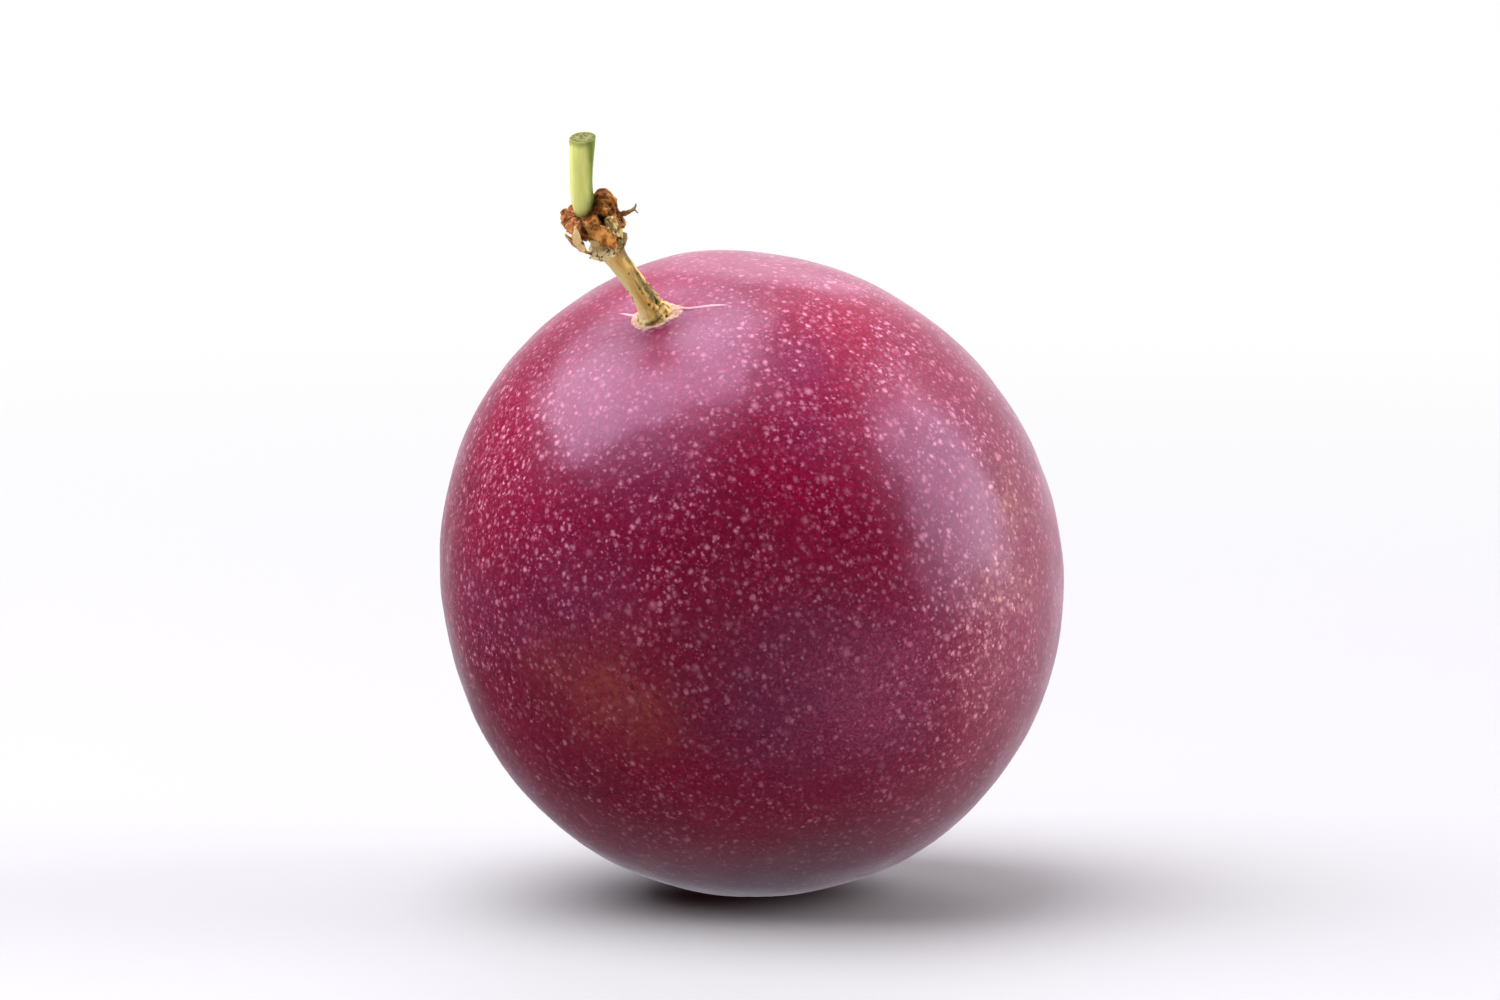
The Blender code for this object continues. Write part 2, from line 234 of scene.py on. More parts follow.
class Finish:
    """A node material under construction, whose texture space is a piece's own frame in millimetres."""

    def __init__(self, name, own_frame=None, **sockets):
        self.material = bpy.data.materials.new(name)
        self.material.use_nodes = True
        self.tree = self.material.node_tree
        self.shader = self.tree.nodes["Principled BSDF"]
        for socket, value in sockets.items():
            self.shader.inputs[socket.replace("_", " ")].default_value = value
        where = self.add("ShaderNodeTexCoord").outputs["Object"]
        place = own_frame or Matrix.Identity(4)
        self.place = self.add(
            "ShaderNodeMapping",
            {
                "Vector": where,
                "Location": place.to_translation(),
                "Rotation": place.to_euler(),
                "Scale": (MM, MM, MM),
            },
            vector_type="TEXTURE",
        ).outputs[0]

    def add(self, kind, inputs=None, **settings):
        node = self.tree.nodes.new(kind)
        for name, value in settings.items():
            setattr(node, name, value)
        for name, value in (inputs or {}).items():
            if isinstance(value, bpy.types.NodeSocket):
                self.tree.links.new(value, node.inputs[name])
            else:
                node.inputs[name].default_value = value
        return node

    def sums(self, operation, first, second=0.0, third=0.0):
        inputs = {0: first, 1: second, 2: third}
        return self.add("ShaderNodeMath", inputs, operation=operation).outputs[0]

    def vectors(self, operation, inputs):
        return self.add("ShaderNodeVectorMath", inputs, operation=operation).outputs[0]

    def across(self):
        """How far a point lies along its frame's X and Y, in millimetres."""
        return self.add("ShaderNodeSeparateXYZ", {0: self.place}).outputs[:2]

    def stretched(self, scale, vector=None):
        inputs = {"Vector": vector or self.place, "Scale": scale}
        return self.add("ShaderNodeMapping", inputs).outputs[0]

    def lumps(self, size, detail=2.0, vector=None, roughness=0.5, distortion=0.0):
        """Noise from 0 to 1 with lumps about this many millimetres across."""
        inputs = {
            "Vector": vector or self.place,
            "Scale": 1 / size,
            "Detail": detail,
            "Roughness": roughness,
            "Distortion": distortion,
        }
        return self.add("ShaderNodeTexNoise", inputs).outputs["Fac"]

    def ramp(self, value, low, high, bottom=0.0, top=1.0):
        inputs = {"Value": value, "From Min": low, "From Max": high, "To Min": bottom, "To Max": top}
        return self.add("ShaderNodeMapRange", inputs, interpolation_type="SMOOTHSTEP").outputs[0]

    def mix(self, share, first, second):
        inputs = {0: share, 6: first, 7: second}
        return self.add("ShaderNodeMix", inputs, data_type="RGBA").outputs[2]

    def layer(self, name):
        return self.add("ShaderNodeAttribute", attribute_name=name).outputs["Fac"]

    def dots(self, cell, radius, soft, vector):
        """Round dots of a radius in millimetres, one to a cell, each with its own strength."""
        voronoi = self.add("ShaderNodeTexVoronoi", {"Vector": vector, "Scale": 1 / cell})
        shape = self.ramp(voronoi.outputs["Distance"], radius / cell, radius * (1 - soft) / cell)
        chance = self.add("ShaderNodeSeparateColor", {0: voronoi.outputs["Color"]}).outputs[0]
        return shape, chance

    def bump(self, height, distance, strength=1.0, normal=None):
        inputs = {"Height": height, "Distance": distance * MM, "Strength": strength}
        if normal:
            inputs["Normal"] = normal
        return self.add("ShaderNodeBump", inputs).outputs[0]

    def wear(self, colour=None, roughness=None, normal=None):
        for socket, value in (("Base Color", colour), ("Roughness", roughness), ("Normal", normal)):
            if value:
                self.tree.links.new(value, self.shader.inputs[socket])
        return self.material


# ---------------------------------------------------------------- the fruit

RIND_ROWS = 190
RIND_COLUMNS = 288
STALK_END_REACH = 9 * MM  # the corky ring and the seams lie within this distance of the axis
SCAR_RADIUS = 1.95 * MM
SCAR_HEIGHT = 0.34 * MM
SCAR_TONGUE = 1.1 * MM  # how much wider the corky ring is on one side
SCAR_TONGUE_DIRECTION = 348.0
SEAMS = ((352.0, 8.8 * MM, 0.15 * MM), (152.0, 4.4 * MM, 0.10 * MM))  # (direction, end, height)

# Blotches of the rind: (degrees from the stalk, direction around, size in degrees, strength)
RUST_PATCHES = (
    (69, 234, 6, 0.7),
    (73, 245, 8, 1.0),
    (79, 253, 7, 1.0),
    (95, 60, 14, 0.5),
    (118, 150, 15, 0.8),
)
GOLD_PATCHES = (  # where the skin and its dots are golden
    (75, 246, 11, 0.45),
    (88, 330, 11, 0.9),
    (78, 340, 9, 0.8),
    (100, 318, 12, 0.5),
    (52, 120, 12, 0.7),
    (130, 20, 12, 0.8),
)
HOT_PATCHES = (
    (33, 356, 11, 1.0),
    (44, 342, 10, 0.6),
    (33, 199, 10, 0.3),
    (66, 196, 14, 0.2),
    (60, 20, 16, 0.3),
    (88, 130, 18, 0.6),
)
PALE_PATCHES = (  # where the dots are brightest
    (38, 345, 22, 1.0),
    (72, 342, 20, 1.0),
    (91, 322, 17, 1.5),
    (38, 199, 18, 1.1),
    (66, 208, 16, 0.8),
    (44, 262, 14, 0.7),
    (46, 231, 10, 0.8),
    (60, 90, 26, 1.0),
    (100, 150, 26, 0.9),
)
# Plum patches: partly the rind's own plum tone and partly a painted reflection, most of all the broad
# ones 83 and 90 degrees from the stalk
DULL_PATCHES = (
    (55, 242, 14, 0.8),
    (36, 262, 11, 0.6),
    (30, 328, 6, 0.8),
    (40, 312, 7, 0.5),
    (83, 280, 17, 1.3),
    (90, 296, 14, 1.2),
    (61, 230, 8, 0.8),
    (65, 212, 10, 0.8),
    (70, 95, 16, 0.6),
    (112, 205, 20, 0.7),
    (125, 80, 14, 0.5),
)
PAINTED_REFLECTION_PATCHES = (  # a pinkish haze: a painted reflection, laid on as a faint bloom
    (88, 295, 15, 1.1),
    (97, 322, 13, 0.8),
    (75, 150, 16, 0.6),
)

# Layers of blotches: (name, patches, mean strength, unevenness, size of its lumps, noise seed)
BLOTCHES = (
    ("rust", RUST_PATCHES, 0.8, 0.5, 0.12, 6.0),
    ("gold", GOLD_PATCHES, 0.8, 0.5, 0.10, 2.0),
    ("dull", DULL_PATCHES, 0.8, 0.5, 0.16, 7.0),
    ("hot", HOT_PATCHES, 0.8, 0.5, 0.16, 9.0),
    ("painted_reflection", PAINTED_REFLECTION_PATCHES, 0.9, 0.3, 0.20, 3.0),
)
PALE_ELSEWHERE = 0.56  # the strength of the dots outside the pale patches
PALE_GAIN = 0.66  # what a pale patch of strength 1 adds to it
PALE_LOSS = 0.4  # the share of it that is lost near the stalk, and again in a rusty patch


def rind_point(polar, around):
    """A point of the smooth rind in the fruit's own frame, and its distance from the axis."""
    out = math.sin(polar)
    swelling = sum(
        height * math.cos(count * turned_by(around, first)) for count, height, first in SWELLINGS
    )
    radius = (EQUATOR_RADIUS + swelling) * out
    height = POLE_RADIUS * math.cos(polar)
    if height > 0:
        height -= STEM_DIMPLE_DEPTH * hill(radius, STEM_DIMPLE_RADIUS)
    else:
        height += BLOSSOM_DIMPLE_DEPTH * hill(radius, BLOSSOM_DIMPLE_RADIUS)
    return Vector((radius * math.cos(around), radius * math.sin(around), height)), radius


def scar_at(radius, around, point):
    """How much of a point is the corky ring round the stalk, 0 to 1."""
    tongue = SCAR_TONGUE * hill(turned_by(around, SCAR_TONGUE_DIRECTION), 0.42)
    middle = SCAR_RADIUS + tongue / 2 + 0.15 * MM * rough(point, 1.3 * MM, 3.0)
    width = 0.36 * MM + tongue / 2 + 0.08 * MM * rough(point, 0.7 * MM, 5.0)
    return hill(radius - middle, width)


def seam_at(radius, around, point, direction, end):
    """How much of a point is a raised seam that runs out from the scar."""
    if abs(turned_by(around, direction)) > 1.0:
        return 0.0
    sideways = radius * math.sin(turned_by(around, direction)) + 0.10 * MM * rough(point, 2.2 * MM, 8.0)
    taper = 1 - blend(0.6 * end, end, radius)
    past_scar = blend(1.5 * MM, 2.4 * MM, radius)
    return hill(sideways, (0.09 + 0.09 * taper) * MM) * math.sqrt(taper) * past_scar


def patch_strength(patches, direction):
    """The strength of the patch that counts most in a direction from the fruit's middle."""
    total = 0.0
    for polar, around, size, strength in patches:
        middle = leaning(polar, around)
        apart = math.degrees(direction.angle(middle))
        total = max(total, strength * hill(apart, size))
    return total


def blotches_at(out):
    """The strength of each layer of blotches in a direction from the fruit's middle."""
    return {
        name: max(patch_strength(patches, out) * (mean + uneven * rough(out, size, seed)), 0.0)
        for name, patches, mean, uneven, size, seed in BLOTCHES
    }


def rind_swell(out, around, radius):
    """The rind's unevenness in millimetres, with folds that run towards the axis at both ends."""
    swell = 0.20 * rough(out, 0.34) + 0.06 * rough(out, 0.12, 4.0) + 0.02 * rough(out, 0.05, 9.0)
    folds = Vector((3.2 * math.cos(around), 3.2 * math.sin(around), radius / (9 * MM)))
    swell += 0.05 * noise.noise(folds) * hill(radius - 4 * MM, 3.5 * MM)
    fine_folds = Vector((9 * math.cos(around), 9 * math.sin(around), radius / (5 * MM)))
    swell += 0.030 * noise.noise(fine_folds) * hill(radius - 3.0 * MM, 1.2 * MM)
    return swell


def stalk_end_marks(radius, around, point):
    """How much of a point is corky ring and how much is seam, and their height in millimetres."""
    cork = scar_at(radius, around, point)
    strongest = raised = 0.0
    for direction, end, height in SEAMS:
        seam = seam_at(radius, around, point, direction, end)
        strongest = max(strongest, seam)
        raised += seam * height / MM
    raised += cork * (SCAR_HEIGHT / MM) * (0.8 + 0.5 * rough(point, 0.6 * MM, 2.0))
    return cork, strongest, raised


def make_rind(finish):
    """The whole rind, flat where it rests, with the strength of each of its markings."""

    def point_at(i, j):
        share = (i + 0.5) / RIND_ROWS
        polar = math.pi * (share - RING_CROWDING * math.sin(math.tau * share))
        around = math.tau * j / RIND_COLUMNS
        point, radius = rind_point(polar, around)
        out = point.normalized()
        at_stem = point.z > 0
        swell = rind_swell(out, around, radius)
        cork = seam = dimple = 0.0
        if at_stem and radius < STALK_END_REACH:
            cork, seam, raised = stalk_end_marks(radius, around, point)
            swell += raised
        if not at_stem:
            cork = 0.8 * hill(radius, 1.5 * MM) * (0.7 + 0.5 * rough(point, 0.8 * MM))
        blotches = blotches_at(out)
        pale = PALE_ELSEWHERE + PALE_GAIN * patch_strength(PALE_PATCHES, out)
        if at_stem:
            dimple = hill(radius, 8 * MM)
            pale *= 1 - PALE_LOSS * hill(radius, STALK_END_REACH)
        pale *= 1 - PALE_LOSS * min(1.0, blotches["rust"])
        world = FRUIT_FRAME @ (point + out * swell * MM)
        world.z = max(world.z, 0.0)
        return world, max(cork, 0.0), *blotches.values(), seam, dimple, pale

    layers = ("cork", *(name for name, *_ in BLOTCHES), "seam", "dimple", "pale")
    piece = add_skin("fruit_rind", RIND_ROWS, RIND_COLUMNS, point_at, finish, layers)
    settle(piece, "rind_skin", "fruit")


# Lenticels: (cell, radius, chance below which a dot is faint, faintest, brightest), in millimetres
LENTICELS = (
    (2.4, 0.62, 0.45, 0.0, 0.85),
    (1.0, 0.40, 0.0, 0.15, 1.0),
    (0.66, 0.27, 0.0, 0.10, 1.0),
    (0.36, 0.16, 0.25, 0.0, 0.60),
)


DENSE_CELL, DENSE_RADIUS = 0.70, 0.36  # extra dots where the rind is palest, in millimetres


def rind_colour(f):
    """The skin between the dots: broad tones, blotches, a painted pinkish reflection and a fine mottle.
    """
    crimson = linear(134, 2, 44)
    maroon = linear(96, 2, 30)
    scarlet = linear(158, 2, 42)
    plum = linear(120, 48, 84)
    reflected_pink = linear(164, 70, 102)
    broad = f.ramp(f.lumps(14.0, 3.0), 0.35, 0.68, 0.0, 0.55)
    colour = f.mix(broad, crimson, maroon)
    colour = f.mix(f.sums("MULTIPLY", f.layer("hot"), 0.9), colour, scarlet)
    # Plum patches, partly the rind's own tone and partly a painted reflection
    colour = f.mix(f.sums("MULTIPLY", f.layer("dull"), 0.7), colour, plum)
    # Painted reflection: a pinkish haze where a neighbouring fruit would be mirrored
    colour = f.mix(f.sums("MULTIPLY", f.layer("painted_reflection"), 0.8), colour, reflected_pink)
    web = f.ramp(f.lumps(0.42, 4.0, roughness=0.75, distortion=0.6), 0.40, 0.66)
    colour = f.mix(f.sums("MULTIPLY", web, 0.38), colour, linear(158, 18, 66))
    gaps = f.ramp(f.lumps(0.30, 3.0, roughness=0.7), 0.60, 0.42)
    colour = f.mix(f.sums("MULTIPLY", gaps, 0.50), colour, linear(72, 0, 28))
    grains = f.ramp(f.lumps(0.55, 3.0, roughness=0.7, distortion=0.4), 0.44, 0.62)
    rusty = f.sums("MULTIPLY", f.layer("rust"), f.sums("MULTIPLY_ADD", grains, 0.65, 0.25))
    colour = f.mix(rusty, colour, linear(144, 54, 32))
    network = f.ramp(f.lumps(0.9, 3.0, roughness=0.7, distortion=0.4), 0.34, 0.60)
    golden = f.sums("MULTIPLY", f.sums("MULTIPLY", f.layer("gold"), network), 0.5)
    return f.mix(golden, colour, linear(168, 106, 88))


def rind_specks(f):
    """Lenticels: soft irregular dots of four sizes, a little drawn out along the fruit."""
    inputs = {"Vector": f.place, "Scale": 1.8, "Detail": 2.0}
    wobble = f.add("ShaderNodeTexNoise", inputs).outputs["Color"]
    shift = f.vectors("ADD", {0: wobble, 1: (-0.5, -0.5, -0.5)})
    shift = f.vectors("SCALE", {0: shift, "Scale": 0.6})
    place = f.vectors("ADD", {0: f.stretched((1, 1, 0.85)), 1: shift})
    crowd = f.ramp(f.lumps(4.0, 2.0), 0.34, 0.60, 0.60, 1.0)
    pale = f.layer("pale")
    dense, _ = f.dots(DENSE_CELL, DENSE_RADIUS, 1.0, place)
    specks = f.sums("MULTIPLY", dense, f.ramp(pale, 0.9, 1.6, 0.0, 0.5))
    for cell, radius, rare, faint, bright in LENTICELS:
        dots, chance = f.dots(cell, radius, 1.0, place)
        dots = f.sums("MULTIPLY", dots, f.ramp(chance, rare, 1.0, faint, bright))
        specks = f.sums("MAXIMUM", specks, dots)
    return f.sums("MULTIPLY", f.sums("MULTIPLY", specks, crowd), pale)


def rind_finish():
    f = Finish("speckled_rind", FRUIT_FRAME, IOR=1.47, Specular_Tint=(1.0, 0.74, 0.97, 1.0))
    specks = rind_specks(f)
    rose = linear(224, 146, 166)
    sand = linear(224, 168, 134)
    speck_colour = f.mix(f.sums("MINIMUM", f.layer("gold"), 1.0), rose, sand)
    colour = f.mix(f.sums("MINIMUM", specks, 0.95), rind_colour(f), speck_colour)

    # Corky ring and seams
    cork_grain = f.ramp(f.lumps(0.28, 3.0, roughness=0.7), 0.35, 0.7)
    cork_colour = f.mix(cork_grain, linear(190, 150, 118), linear(224, 194, 158))
    ragged_cork = f.sums("ADD", f.layer("cork"), f.sums("MULTIPLY_ADD", cork_grain, 0.3, -0.15))
    cork_share = f.ramp(ragged_cork, 0.35, 0.62)
    colour = f.mix(cork_share, colour, cork_colour)
    seam_share = f.ramp(f.layer("seam"), 0.2, 0.7, 0.0, 0.85)
    colour = f.mix(seam_share, colour, linear(226, 168, 164))

    bloom = f.lumps(5.0, 3.0)
    roughness = f.ramp(bloom, 0.3, 0.7, 0.25, 0.32)
    roughness = f.sums("MULTIPLY_ADD", f.layer("dimple"), 0.20, roughness)
    roughness = f.sums("ADD", roughness, f.sums("MULTIPLY", cork_share, 0.4))
    peel = f.bump(f.lumps(1.6, 2.0), 0.05, 0.35)
    pits = f.bump(specks, 0.02, 0.3, peel)
    grain = f.bump(f.sums("MULTIPLY", cork_grain, cork_share), 0.10, 0.6, pits)
    return f.wear(colour, roughness, grain)


# ---------------------------------------------------------------- the woody stalk

STALK_ROWS = 150
STALK_COLUMNS = 96
STALK_RADIUS = (  # (distance from the rind, radius)
    (-STALK_SUNK, 1.95 * MM),
    (0.2 * MM, 1.68 * MM),
    (1.0 * MM, 1.40 * MM),
    (2.4 * MM, 1.15 * MM),
    (4.5 * MM, 1.04 * MM),
    (7.0 * MM, 1.04 * MM),
    (7.9 * MM, 1.20 * MM),
    (8.5 * MM, 1.80 * MM),
    (9.3 * MM, 1.80 * MM),
    (10.0 * MM, 1.30 * MM),
    (12.0 * MM, 0.95 * MM),
)
KNOB_PLACE = 8.85 * MM  # the middle of the collar's swelling, from the rind


def stalk_centre(place):
    """The middle of the stalk at a distance from the rind: square out of it, then along the stem."""
    if place <= 0:
        return STALK_FOOT + FRUIT_AXIS * place
    if place <= STALK_LENGTH:
        corner = STALK_FOOT + FRUIT_AXIS * STALK_START_STRAIGHT
        return curve_point(STALK_FOOT, corner, COLLAR, place / STALK_LENGTH)
    return COLLAR + STEM_AXIS * (place - STALK_LENGTH)


def make_stalk(finish):
    """The ribbed woody stalk with its knobbly collar, crumbly on its dark right side near the rind."""
    first, last = -STALK_SUNK, STALK_LENGTH + STALK_IN_CUP
    across = STEM_FRAME.to_3x3() @ Vector((1, 0, 0))
    away = STEM_FRAME.to_3x3() @ Vector((0, 1, 0))

    def point_at(i, j):
        place = first + (last - first) * i / (STALK_ROWS - 1)
        around = math.tau * j / STALK_COLUMNS
        side = Vector((math.cos(around), math.sin(around), 0))
        spot = side * 1.4 + Vector((0, 0, place / MM))
        ribs = noise.noise(Vector((2.6 * side.x, 2.6 * side.y, place / (7 * MM))))
        fine_ribs = crest(noise.noise(Vector((6.0 * side.x, 6.0 * side.y, place / (4 * MM) + 9))))
        crumbs = noise.noise(spot * 2.1)
        crumble = noise.noise(spot * 4.6 + Vector((7, 0, 0)))
        collar = hill(place - KNOB_PLACE, 0.85 * MM)
        knobs = noise.noise(spot * 1.25 + Vector((4, 0, 0))) * collar
        dark_side = blend(-0.1, 0.8, side.x) * blend(0.2 * MM, 1.2 * MM, place)
        rough_bark = dark_side * (1 - blend(3.4 * MM, 5.4 * MM, place))
        relief = 0.09 * ribs + 0.05 * fine_ribs + 0.03 * crumbs + 0.50 * knobs
        relief += (0.10 * crumbs + 0.08 * crumble) * (2.2 * collar + 1.8 * rough_bark)
        relief += 0.28 * collar * hill(turned_by(around, 245.0), 0.5)
        radius = eased(STALK_RADIUS, place) + relief * MM
        point = stalk_centre(place) + (across * side.x + away * side.y) * radius
        # Painted shadow: a dark band where the stalk's foot meets the rind
        foot_shadow = hill(place - 0.1 * MM, 0.45 * MM)
        # Painted light: marks the stalk's left side, which its colour makes paler
        left = 1 - blend(-0.8, 0.1, side.x)
        return point, 0.5 + 1.6 * relief, dark_side, collar, foot_shadow, left

    layers = ("relief", "dark_side", "collar", "foot_shadow", "left")
    piece = add_skin("stalk_bark", STALK_ROWS, STALK_COLUMNS, point_at, finish, layers)
    settle(piece, "stalk_wood", "woody_stalk")


def stalk_finish():
    f = Finish("dry_stalk_wood", STEM_FRAME, IOR=1.4, Specular_IOR_Level=0.45)
    relief, dark_side, collar = f.layer("relief"), f.layer("dark_side"), f.layer("collar")
    streaks = f.lumps(0.5, 3.0, f.stretched((1, 1, 0.14)), 0.65)
    colour = f.mix(f.ramp(streaks, 0.3, 0.72), linear(255, 220, 130), linear(214, 162, 72))
    colour = f.mix(f.ramp(f.lumps(2.2, 2.0), 0.45, 0.7, 0.0, 0.7), colour, linear(216, 160, 74))
    # Painted light: the left side of the stalk is painted paler, as if lit from the left
    colour = f.mix(f.sums("MULTIPLY", f.layer("left"), 0.9), colour, linear(255, 236, 170))
    # Painted shade: darker where the relief is low, in the grooves between the ribs and knobs
    colour = f.mix(f.ramp(relief, 0.48, 0.24), colour, linear(78, 50, 20))
    olive = f.ramp(f.lumps(0.9, 3.0, f.stretched((1, 1, 0.35))), 0.35, 0.6)
    olive = f.sums("MULTIPLY", f.sums("MULTIPLY", dark_side, olive), 0.9)
    colour = f.mix(olive, colour, linear(104, 92, 42))
    specks, chance = f.dots(0.75, 0.26, 0.5, f.place)
    chance = f.sums("MULTIPLY_ADD", dark_side, 0.25, chance)
    black = f.sums("MULTIPLY", specks, f.ramp(chance, 0.68, 0.82))
    colour = f.mix(f.sums("MULTIPLY", black, 0.9), colour, linear(30, 20, 12))
    pale = f.ramp(f.lumps(0.6, 2.0), 0.26, 0.46)
    light_side = f.sums("SUBTRACT", 1.0, dark_side)
    pale = f.sums("MULTIPLY", f.sums("MULTIPLY", collar, pale), light_side)
    colour = f.mix(f.sums("MULTIPLY", pale, 0.95), colour, linear(255, 236, 176))
    vein = f.sums("ABSOLUTE", f.sums("SUBTRACT", f.lumps(0.9, 3.0, distortion=0.8), 0.5))
    crack = f.sums("MULTIPLY", f.ramp(vein, 0.045, 0.012), f.ramp(collar, 0.15, 0.6))
    colour = f.mix(f.sums("MULTIPLY", crack, 0.85), colour, linear(58, 38, 16))
    # Painted shadow: a broken dark band round the foot, in the gap over the rind
    foot_shadow = f.sums("MULTIPLY", f.layer("foot_shadow"), f.ramp(f.lumps(0.7, 3.0), 0.40, 0.56))
    colour = f.mix(f.sums("MULTIPLY", foot_shadow, 0.85), colour, linear(66, 44, 16))
    normal = f.bump(streaks, 0.10, 0.7)
    normal = f.bump(f.lumps(0.16, 3.0), 0.05, 0.6, normal)
    return f.wear(colour, f.ramp(streaks, 0.3, 0.7, 0.62, 0.82), normal)


# ---------------------------------------------------------------- the dried flower cup

CUP_ROWS = 150
CUP_COLUMNS = 208
CUP_OUTER_ROWS = 108
CUP_SHOULDER = 0.42  # the share of the outside where its crown ends and its wall begins
CUP_CROWN_DROP = 0.35 * MM
CUP_WALL = 0.40 * MM
CUP_ROOF_DEPTH = 1.0 * MM  # from the closed end to the ceiling inside
CUP_BACK_SHARE = 0.7  # of the inner rows, those on the wall; the rest close the ceiling
CUP_RIM = (  # (direction, height of the torn edge over the collar's lower edge)
    (0, 2.7 * MM),
    (40, 3.1 * MM),
    (75, 2.7 * MM),
    (120, 2.3 * MM),
    (160, 3.5 * MM),
    (200, 4.1 * MM),
    (235, 3.7 * MM),
    (262, 3.4 * MM),
    (290, 2.5 * MM),
    (315, 3.2 * MM),
    (345, 2.5 * MM),
    (360, 2.7 * MM),
)
CUP_LOBES = (  # (direction, half width in radians, height)
    (12.0, 0.66, 0.75 * MM),
    (168.0, 0.72, 0.70 * MM),
    (90.0, 0.60, 0.55 * MM),
)
CREVICES = (  # (direction, height, half width, half height, depth)
    (303.0, 4.9 * MM, 0.40 * MM, 0.65 * MM, 0.75),
    (256.0, 5.3 * MM, 0.22 * MM, 0.9 * MM, 0.40),
    (335.0, 5.4 * MM, 0.20 * MM, 0.8 * MM, 0.35),
    (205.0, 5.6 * MM, 0.20 * MM, 0.8 * MM, 0.35),
    (130.0, 4.6 * MM, 0.30 * MM, 0.9 * MM, 0.5),
    (55.0, 4.8 * MM, 0.25 * MM, 0.9 * MM, 0.5),
)


def cup_point(share, around, inner):
    """A point of the crumpled cup in the stem's frame, and its relief.

    share is 0 at the closed end and 1 at the rim.
    """
    side = Vector((math.cos(around), math.sin(around), 0))
    crown = min(1.0, share / CUP_SHOULDER)
    turn = crown * math.pi / 2
    wall = max(0.0, (share - CUP_SHOULDER) / (1 - CUP_SHOULDER))
    radius = CUP_RADIUS * math.sin(turn) ** 0.65 * (1 - 0.15 * wall)
    radius *= 1 - 0.10 * hill(turned_by(around, 175.0), 0.9) * (1 - wall)
    teeth = 0.55 * noise.noise(side * 4.5) + 0.30 * noise.noise(side * 12.0)
    rim = eased(CUP_RIM, math.degrees(around) % 360) + teeth * MM
    lobes = sum(height * hill(turned_by(around, way), width) for way, width, height in CUP_LOBES)
    lobes *= 1 + 0.7 * noise.noise(side * 2.7 + Vector((0, 0, 3 * share)))
    height = CUP_FLOOR - CUP_CROWN_DROP * crown**3 + (rim - CUP_FLOOR + CUP_CROWN_DROP) * wall
    height += lobes * math.sin(2 * turn) ** 1.1 if crown < 1 else 0.0
    place = side * radius + Vector((0, 0, height))

    grown = blend(0.10, 0.38, share)
    folds = crest(noise.noise(Vector((1.9 * side.x, 1.9 * side.y, 0.35 * height / MM))))
    creases = crest(noise.noise(place / (0.85 * MM)))
    crinkle = crest(noise.noise(place / (0.34 * MM) + Vector((5, 0, 0))))
    relief = (0.20 * folds + 0.17 * creases) * grown + 0.11 * crinkle * blend(0.04, 0.15, share)
    for way, level, width, reach, depth in CREVICES:
        turn_away = turned_by(around, way)
        if abs(turn_away) < 1:
            across = radius * math.sin(turn_away)
            relief -= depth * hill(across, width) * hill(height - level, reach)
    lift = 0.30 * creases * math.sin(2 * turn) if crown < 1 else 0.0
    if inner:
        radius -= CUP_WALL
        relief = max(relief, -0.25) * 0.6
    shift = Vector((0.15 * MM * grown, 0, 0))
    radius = max(0.0, radius + relief * MM)
    return side * radius + shift + Vector((0, 0, height + lift * MM)), 0.5 + relief


def make_cup(finish):
    """The dried cup: its outside down to the torn rim, then its inside back up to the ceiling."""
    roof = CUP_FLOOR - CUP_ROOF_DEPTH

    def point_at(i, j):
        around = math.tau * j / CUP_COLUMNS
        if i < CUP_OUTER_ROWS:
            point, relief = cup_point(0.02 + 0.98 * i / (CUP_OUTER_ROWS - 1), around, inner=False)
            return STEM_FRAME @ point, relief, 0.0
        back = (i - CUP_OUTER_ROWS) / (CUP_ROWS - CUP_OUTER_ROWS - 1)
        share = 1.0 - (1 - CUP_SHOULDER) * min(1.0, back / CUP_BACK_SHARE)
        point, relief = cup_point(share, around, inner=True)
        point.z = min(point.z, roof)
        narrow = 1 - 0.97 * blend(CUP_BACK_SHARE, 1.0, back)
        point = Vector((point.x * narrow, point.y * narrow, point.z))
        return STEM_FRAME @ point, relief, 1.0

    layers = ("relief", "inside")
    piece = add_skin("flower_cup_husk", CUP_ROWS, CUP_COLUMNS, point_at, finish, layers)
    settle(piece, "dried_calyx", "calyx_cup")


def husk_finish():
    f = Finish("crumpled_husk", STEM_FRAME, IOR=1.4, Specular_IOR_Level=0.15)
    relief = f.layer("relief")
    across, _ = f.across()
    blotch = f.lumps(1.1, 3.0, roughness=0.65)
    left = f.ramp(f.sums("MULTIPLY_ADD", blotch, 3.0, across), 1.9, 0.1)
    dark = f.mix(f.ramp(blotch, 0.38, 0.62), linear(134, 78, 14), linear(74, 36, 4))
    ruddy = f.mix(f.ramp(blotch, 0.38, 0.62), linear(180, 116, 66), linear(116, 64, 24))
    colour = f.mix(left, dark, ruddy)
    grain = f.lumps(0.32, 4.0, roughness=0.7)
    colour = f.mix(f.ramp(grain, 0.50, 0.72, 0.0, 0.8), colour, linear(66, 32, 12))
    # Painted shade: darker in the crevices and fold valleys
    colour = f.mix(f.ramp(relief, 0.47, 0.17), colour, linear(30, 14, 4))
    # Painted highlight: paler on the crests of the folds
    colour = f.mix(f.ramp(relief, 0.60, 0.86, 0.0, 0.6), colour, linear(222, 160, 88))
    colour = f.mix(f.layer("inside"), colour, linear(70, 40, 20))
    normal = f.bump(grain, 0.14, 0.9)
    return f.wear(colour, f.ramp(blotch, 0.3, 0.7, 0.6, 0.85), normal)


# ---------------------------------------------------------------- torn sepals, awn, green stub, style

